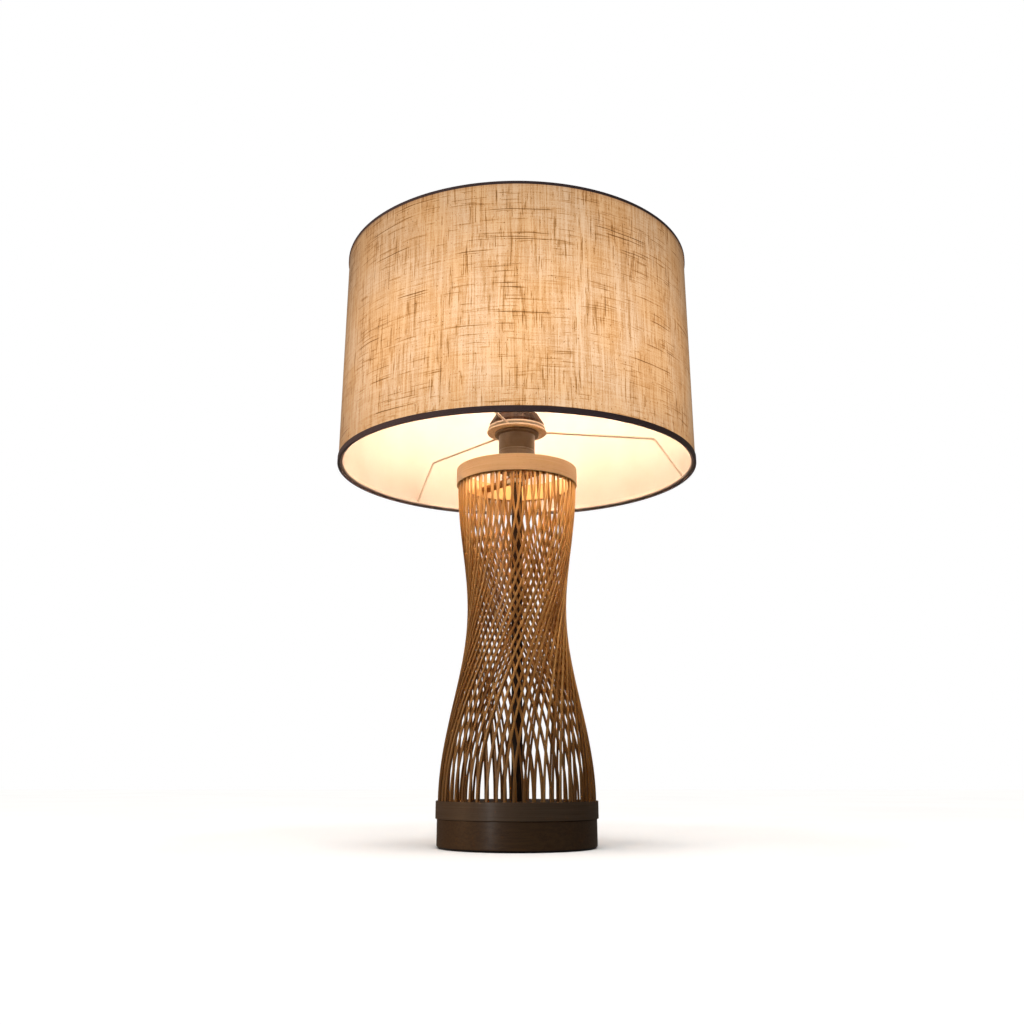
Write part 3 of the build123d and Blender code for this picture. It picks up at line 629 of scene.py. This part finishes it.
def splint_layer(name, node, top_r, bottom_r, twist, first_angle, seed):
    """A layer of splints, each a rounded strip carried along a bent line.

    Seen from above, a splint's line is the straight chord from its top point to its bottom
    point. Both ends are held upright, so its way along the chord is 3t^2 - 2t^3, with t
    from 0 at the hoop to 1 at the band. Its flat side faces the lamp's axis. Splints stand
    a little off their even places, and at two places in each a bamboo node swells the strip
    by its swell times exp(-d^2), with d the way from the node in units of its reach.
    """
    rows = 72
    rng = np.random.default_rng(seed)
    low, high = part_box(node)
    z = np.linspace(high.z, low.z, rows)
    t = np.clip((cage_top - z) / (cage_top - cage_bottom), 0, 1)
    start = np.array([top_r, 0.0])
    chord = np.array([bottom_r * cos(twist), bottom_r * sin(twist)]) - start
    way = 3 * t**2 - 2 * t**3
    line = np.column_stack([start + way[:, None] * chord, z])
    slope = (6 * t * (1 - t))[:, None] * chord
    tangent = np.column_stack([slope, np.full(rows, cage_bottom - cage_top)])
    tangent /= np.linalg.norm(tangent, axis=1)[:, None]
    around = np.column_stack([-line[:, 1], line[:, 0], np.zeros(rows)])
    around /= np.linalg.norm(around, axis=1)[:, None]
    across = around - tangent * (around * tangent).sum(1)[:, None]
    across /= np.linalg.norm(across, axis=1)[:, None]
    outward = np.cross(across, tangent)
    w, h = SPLINT_W / 2, SPLINT_T / 2
    section = eased([(-w, -h), (w, -h), (w, h), (-w, h)], 0.35 * MM, steps=2)
    length = np.concatenate([[0], np.cumsum(np.linalg.norm(np.diff(line, axis=0), axis=1))])
    joints = rng.uniform(0.05, 0.95, (SPLINTS_PER_LAYER, 2)) * length[-1]
    from_joint = (length[None, :, None] - joints[:, None, :]) / NODE_REACH
    swell = NODE_SWELL * np.exp(-(from_joint**2)).sum(2)
    wide = 1 + rng.uniform(-0.05, 0.0, SPLINTS_PER_LAYER)[:, None] + swell
    side = section[None, None, :, 0, None] * wide[:, :, None, None] * across[None, :, None, :]
    face = section[None, None, :, 1, None] * outward[None, :, None, :]
    one = line[None, :, None, :] + side + face
    angle = first_angle + np.arange(SPLINTS_PER_LAYER) * 2 * pi / SPLINTS_PER_LAYER
    angle = angle + rng.uniform(-SPLINT_WANDER, SPLINT_WANDER, SPLINTS_PER_LAYER)
    c, s = np.cos(angle)[:, None, None], np.sin(angle)[:, None, None]
    x, y = one[..., 0], one[..., 1]
    points = np.stack([x * c - y * s, x * s + y * c, one[..., 2]], -1)
    closed = np.vstack([section, section[:1]])
    girth = np.concatenate([[0], np.cumsum(np.linalg.norm(np.diff(closed, axis=0), axis=1))])
    tones = rng.uniform(0, 1, SPLINTS_PER_LAYER)
    return skin(name, points, girth, length, ends=True, tones=tones)


half_splint = SPLINT_T / 2 + SPLINT_FIT
outer_layer = splint_layer(
    "outer_bamboo",
    "outer_splints",
    round_size("top_hoop")[0] - half_splint,
    round_size("base_band")[0] - half_splint,
    -SPLINT_TWIST,
    0.0,
    11,
)
finish(outer_layer, bamboo, "splint_bamboo", "lamp_body", "outer_splints")
inner_layer = splint_layer(
    "inner_bamboo",
    "inner_splints",
    round_size("inner_hoop")[1] + half_splint,
    round_size("base_plug")[1] + half_splint,
    SPLINT_TWIST,
    pi / SPLINTS_PER_LAYER,
    23,
)
finish(inner_layer, bamboo, "splint_bamboo", "lamp_body", "inner_splints")


# ---------------------------------------------------------------- turned and bent rings
def eased_ring(name, node, ease_mm, material, slot, body, segments=192):
    """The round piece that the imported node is, with its four edges eased."""
    bore, rim, bottom, top = round_size(node)
    corners = [(bore, bottom), (rim, bottom), (rim, top), (bore, top)]
    ring = turned(name, eased(corners, ease_mm * MM), segments)
    return finish(ring, material, slot, body, node)


eased_ring("collar", "top_hoop", 0.35, collar_wood, "hoop_wood", "lamp_body", 256)
eased_ring("dark_band", "base_band", 0.4, band_wood, "band_wood", "lamp_body", 256)
eased_ring("seat_ring", "spider_ring", 0.4, enamel, "ring_white", "shade")
eased_ring("pressing_ring", "clamp_washer", 0.4, enamel, "ring_white", "washer")

# ---------------------------------------------------------------- lampholder and ring nut
_, shoulder_r, skirt_foot, rim_z = round_size("holder_skirt")
seat_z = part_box("spider_ring")[0].z
thread_r = round_size("ring_nut")[0] - 0.08 * MM
barrel_r = round_size("holder_cap")[1]
cap_top_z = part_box("holder_cap")[1].z
groove_z = cap_top_z + GROOVE_RISE
groove_top_z = groove_z + GROOVE_H
shoulder_z = seat_z - SHOULDER_H
mouth_r = thread_r - HOLDER_WALL
spigot_r = barrel_r - SPIGOT_WALL


def holder_ripple(angle, r, z):
    """The thread: a groove that climbs one pitch a turn, cut into the neck's outside only.

    Its depth is (half of 1 - cos of the turn) to the power 1.5, which rounds the groove and
    leaves the crests broad.
    """
    on_neck = (r > thread_r - 0.01 * MM) & (r < thread_r + 0.1 * MM)
    on_thread = on_neck & (z > seat_z + 1.2 * MM) & (z < rim_z - 0.8 * MM)
    turn = z / HOLDER_THREAD_PITCH - angle / (2 * pi)
    groove = (0.5 - 0.5 * np.cos(2 * pi * turn)) ** 1.5
    return np.where(on_thread, -HOLDER_THREAD_DEPTH * groove, 0)


skirt_rim = [(thread_r, z) for z in np.linspace(seat_z, rim_z - 0.4 * MM, 70)]
skirt_outline = [
    (spigot_r - SPIGOT_WALL, skirt_foot),
    (spigot_r, skirt_foot),
    (spigot_r, cap_top_z),
    (barrel_r - 0.25 * MM, cap_top_z),
    (barrel_r, cap_top_z + 0.25 * MM),
    (barrel_r, groove_z - 0.1 * MM),
    (barrel_r - 0.1 * MM, groove_z),
    (barrel_r - GROOVE_DEPTH, groove_z),
    (barrel_r - GROOVE_DEPTH, groove_top_z),
    (barrel_r - 0.1 * MM, groove_top_z),
    (barrel_r, groove_top_z + 0.1 * MM),
    (barrel_r, shoulder_z - 0.5 * MM),
    (barrel_r + 0.15 * MM, shoulder_z - 0.15 * MM),
    (barrel_r + 0.5 * MM, shoulder_z),
    (shoulder_r - 0.5 * MM, shoulder_z),
    (shoulder_r - 0.15 * MM, shoulder_z + 0.15 * MM),
    (shoulder_r, shoulder_z + 0.5 * MM),
    (shoulder_r, seat_z - 0.2 * MM),
    (shoulder_r - 0.2 * MM, seat_z),
    *skirt_rim,
    (thread_r - 0.4 * MM, rim_z),
    (mouth_r + 0.4 * MM, rim_z),
    (mouth_r, rim_z - 0.4 * MM),
    (mouth_r, groove_top_z),
    (spigot_r - SPIGOT_WALL, groove_top_z),
]
threaded_skirt = turned("threaded_skirt", skirt_outline, 144, holder_ripple)
finish(threaded_skirt, phenolic, "holder_resin", "lamp_body", "holder_skirt")

nut_bore, nut_rim, nut_foot, nut_top = round_size("ring_nut")


def nut_ripple(angle, r, z):
    """Finger flutes: the upper half of a cosine, squared, and as deep as r has grown.

    They start 1 mm outside the bore, and are full at the rim.
    """
    inner = nut_bore + 1.0 * MM
    share = np.clip((r - inner) / (nut_rim - inner), 0, 1)
    flute = np.clip(np.cos(NUT_FLUTES * angle), 0, 1) ** 2
    return -NUT_FLUTE_DEPTH * share * flute


nut_outline = eased(
    [
        (nut_bore, nut_foot),
        (nut_rim, nut_foot),
        (nut_rim, nut_foot + NUT_GRIP_H),
        (NUT_NECK_R, nut_top),
        (nut_bore, nut_top),
    ],
    0.4 * MM,
)
fluted_nut = turned("fluted_nut", nut_outline, 288, nut_ripple)
finish(fluted_nut, nut_phenolic, "holder_resin", "nut", "ring_nut")

# ---------------------------------------------------------------- bulb
cap_bore, cap_r, cap_foot, cap_top = round_size("bulb_cap")


def cap_ripple(angle, r, z):
    """The bulb's rolled thread: r falls by half of 1 - cos of the turn, one pitch a turn."""
    on_thread = (z > cap_foot + 1.5 * MM) & (z < cap_top - 2.5 * MM)
    turn = z / CAP_THREAD_PITCH - angle / (2 * pi)
    return np.where(on_thread, -CAP_THREAD_DEPTH * (0.5 - 0.5 * np.cos(2 * pi * turn)), 0)


cap_z = np.linspace(cap_foot, cap_top, 60)
cap_outline = [(cap_r, z) for z in cap_z] + [(cap_bore, z) for z in cap_z[::-1]]
bulb_thread = turned("bulb_thread", cap_outline, 128, cap_ripple)
finish(bulb_thread, nickel, "bulb_cap_metal", "bulb", "bulb_cap")

globe_low, globe_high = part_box("bulb_globe")
globe_r = globe_high.x
globe_z = globe_high.z - globe_r
globe_start = np.arcsin((globe_low.z - globe_z) / globe_r)
globe_arc = np.linspace(globe_start, pi / 2, 40)
# the dome's outside from its foot to its pole, and back down its inside
globe_outline = np.vstack(
    [
        np.column_stack([r * np.cos(arc), globe_z + r * np.sin(arc)])
        for r, arc in ((globe_r, globe_arc), (globe_r - GLOBE_WALL, globe_arc[::-1]))
    ]
)
opal_dome = turned("opal_dome", globe_outline, 128)
finish(opal_dome, opal, "bulb_opal", "bulb", "bulb_globe")

# ---------------------------------------------------------------- shade
_, fabric_r, fabric_bottom, fabric_top = round_size("shade_fabric")
_, board_r, board_bottom, board_top = round_size("shade_liner")
wire_bore, wire_rim, wire_low, wire_high = round_size("bottom_ring_wire")
_, _, upper_wire_low, upper_wire_high = round_size("top_ring_wire")


def lapped_sheet(name, section, radius, rows):
    """A sheet bent into a drum whose last few millimetres lie on its start.

    The section, (r, z) round the sheet's thickness, is carried round the axis from the seam
    by one turn and the lap. Just before the lap, r grows by the step as 3t^2 - 2t^3.
    """
    section = np.asarray(section, float)
    turn = 2 * pi + SEAM_LAP / radius
    angle = np.linspace(0, turn, rows)
    ease = SEAM_EASE / radius
    t = np.clip((angle - 2 * pi + ease) / ease, 0, 1)
    r = section[None, :, 0] + (SEAM_STEP * (3 * t**2 - 2 * t**3))[:, None]
    place = (angle + SEAM_AZIMUTH)[:, None]
    z = np.broadcast_to(section[:, 1], r.shape)
    points = np.stack([r * np.cos(place), r * np.sin(place), z], -1)[None]
    heights = np.append(section[:, 1], section[0, 1])
    return skin(name, points, heights, angle * radius, ends=True)


levels = np.linspace(fabric_bottom, fabric_top, 34)
linen_section = [(fabric_r - SEAM_STEP, z) for z in levels]
linen_section += [(fabric_r - SEAM_STEP - LINEN_WALL, z) for z in levels[::-1]]
linen = lapped_sheet("slub_linen_drum", linen_section, fabric_r, 481)
finish(linen, linen_cloth, "shade_linen", "shade", "shade_fabric")


def hem(centre_z, below):
    """Half a circle of the board round an edge wire, from the wall to the wire's inside."""
    centre_r = (wire_bore + wire_rim) / 2
    reach = (wire_rim - wire_bore) / 2 + HEM_CLEARANCE
    swing = np.linspace(0, 1, 9) * pi
    side = -1 if below else 1
    return [(centre_r + reach * cos(a), centre_z + side * reach * sin(a)) for a in swing]


# the board's outside upwards, the upper hem, the inside down with a step at each hem's end,
# and the lower hem
lower_hem = hem((wire_low + wire_high) / 2, True)
upper_hem = hem((upper_wire_low + upper_wire_high) / 2, False)
board_face = board_r - 0.45 * MM
hem_lip_r = board_face - HEM_STEP
inside_z = np.linspace(upper_wire_low - HEM_TAIL, wire_high + HEM_TAIL, 16)
board_section = [(board_face + 0.4 * MM, z) for z in np.linspace(board_bottom, board_top, 20)]
board_section += upper_hem
board_section += [(hem_lip_r, upper_wire_low - HEM_LIP)]
board_section += [(board_face, z) for z in inside_z]
board_section += [(hem_lip_r, wire_high + HEM_LIP)]
board_section += lower_hem[::-1]
lining = turned("white_lining", board_section, 320)
finish(lining, board_white, "shade_liner", "shade", "shade_liner")


def binding(name, node, upright):
    """Tape folded over the shade's edge, an L in section: a flap outside, and one on the edge.

    The flap stands up from the lower edge if upright, and hangs from the upper one if not.
    """
    bore, rim, bottom, top = round_size(node)
    flap_r = rim - TAPE_T
    if upright:
        corners = [(bore, bottom), (rim, bottom), (rim, top), (flap_r, top)]
        corners += [(flap_r, bottom + TAPE_T), (bore, bottom + TAPE_T)]
    else:
        corners = [(bore, top), (bore, top - TAPE_T), (flap_r, top - TAPE_T)]
        corners += [(flap_r, bottom), (rim, bottom), (rim, top)]
    return turned(name, eased(corners, 0.22 * MM), 320)


lower_binding = binding("lower_binding", "bottom_trim", True)
upper_binding = binding("upper_binding", "top_trim", False)
finish(lower_binding, tape_cotton, "shade_trim", "shade", "bottom_trim")
finish(upper_binding, tape_cotton, "shade_trim", "shade", "top_trim")

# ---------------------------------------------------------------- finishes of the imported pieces
FINISHES = {
    "felt_pad": wool_felt,
    "base_drum": drum_wood,
    "base_plug": drum_wood,
    "bottom_spacer": bamboo,
    "top_spacer": bamboo,
    "base_weight": cast_iron,
    "foot_washer": zinc,
    "foot_nut": zinc,
    "bottom_cover": powder_coat,
    "cover_screws": zinc,
    "cord_grommet": rubber,
    "stem_tube": bronze_paint,
    "crossbar": tan_paint,
    "crossbar_nut": zinc,
    "lock_washer": zinc,
    "inner_hoop": inner_hoop_wood,
    "holder_cap": phenolic,
    "holder_grub_screw": nylon,
    "contact_carrier": carrier_plastic,
    "terminal_blocks": brass,
    "terminal_screws": zinc,
    "screw_shell": brass,
    "contact_spring": brass,
    "centre_contact": brass,
    "bulb_tip": solder,
    "bulb_insulator": cap_glass,
    "bulb_housing": bulb_plastic,
    "led_board": board_print,
    "spider_spokes": enamel,
    "bottom_ring_wire": enamel,
    "top_ring_wire": enamel,
}
for node, material in FINISHES.items():
    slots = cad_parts[node].data.materials
    slots.clear()
    slots.append(material)

# ---------------------------------------------------------------- floor, light and camera
FLOOR_HALF = 4.0
floor_mesh = bpy.data.meshes.new("floor")
floor_sides = ((-1, -1), (1, -1), (1, 1), (-1, 1))
floor_corners = [(x * FLOOR_HALF, y * FLOOR_HALF, 0) for x, y in floor_sides]
floor_mesh.from_pydata(floor_corners, [], [(0, 1, 2, 3)])
floor = bpy.data.objects.new("floor", floor_mesh)
bpy.context.scene.collection.objects.link(floor)
# background paper: matt white, with no gloss at all
studio_paper = plain_finish(
    "studio_paper", "#f7f7f6", "#f4f4f3", 300, 2, 0.02, (0.9, 1.0), **{"Specular IOR Level": 0.0}
)
floor.data.materials.append(studio_paper)
floor.visible_diffuse = False
floor.visible_glossy = False

floor_only = bpy.data.collections.new("floor_only")
floor_only.objects.link(floor)


def lamp(name, kind, energy, place, aim, colour="#ffffff", **settings):
    """A studio light at a place, turned to face the point that it is aimed at."""
    data = bpy.data.lights.new(name, kind)
    data.energy = energy
    data.color = linear(colour)[:3]
    for key, value in settings.items():
        setattr(data, key, value)
    light = bpy.data.objects.new(name, data)
    bpy.context.scene.collection.objects.link(light)
    direction = np.subtract(aim, place)
    turn = Vector(direction).to_track_quat("-Z", "Y").to_matrix().to_4x4()
    light.matrix_world = Matrix.Translation(place) @ turn
    light.visible_camera = False
    return light


# a wide sun that lights the paper alone, and three soft lights on the lamp. Each of those is
# (name, watts, place, aim, colour, width, height).
floor_light = lamp("floor_light", "SUN", 3.3, (0, -1, 4), (0, 0, 0), angle=radians(50))
floor_light.light_linking.receiver_collection = floor_only
soft_lights = [
    ("left_fill", 4.0, (-1.7, -0.3, 0.5), (0, 0, 0.05), "#ffcf9e", 0.5, 0.8),
    ("left_strip", 3.0, (-1.0, -1.35, 0.3), (0, 0, 0.05), "#f2f1f0", 0.12, 0.6),
    ("right_softbox", 0.8, (1.7, -0.9, 0.9), (0, 0, 0.25), "#fff0e0", 0.5, 1.2),
]
for name, watts, place, aim, colour, width, height in soft_lights:
    lamp(name, "AREA", watts, place, aim, colour, shape="RECTANGLE", size=width, size_y=height)

# the light that falls out of the shade's mouth on to the cage
cage_only = bpy.data.collections.new("cage_only")
for piece in (outer_layer, inner_layer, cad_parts["inner_hoop"]):
    cage_only.objects.link(piece)
mouth_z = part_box("spider_ring")[0].z
mouth_light = lamp(
    "mouth_light", "AREA", MOUTH_GLOW, (0, 0, mouth_z), (0, 0, 0), "#ffe0b4", shape="DISK", size=0.3
)
mouth_light.light_linking.receiver_collection = cage_only

# the backdrop shows white to the camera, and gives the lamp only a faint warm light
world = bpy.data.worlds.new("studio")
bpy.context.scene.world = world
world.use_nodes = True
tree = world.node_tree
tree.nodes.clear()
to_camera = put(tree, "LightPath").outputs["Is Camera Ray"]
faint = put(tree, "Background", {"Color": linear("#fff0e0"), "Strength": 0.07})
white = put(tree, "Background", {"Color": (1, 1, 1, 1), "Strength": 1.0})
backdrop = put(tree, "MixShader", [to_camera, faint, white])
put(tree, "OutputWorld", {"Surface": backdrop})

CAMERA_PLACE = (-0.0018, -0.9569, 0.0600)
CAMERA_LIFT = radians(18.14)  # how far it looks up
camera_data = bpy.data.cameras.new("camera")
camera_data.lens = 35.515
camera_data.sensor_width = 36.0
camera_data.shift_x = -0.0029
camera_data.shift_y = -0.0654
camera = bpy.data.objects.new("camera", camera_data)
bpy.context.scene.collection.objects.link(camera)
upright = Matrix.Rotation(pi / 2 + CAMERA_LIFT, 4, "X")
camera.matrix_world = Matrix.Translation(CAMERA_PLACE) @ upright
bpy.context.scene.camera = camera
bpy.context.scene.view_settings.view_transform = "Standard"
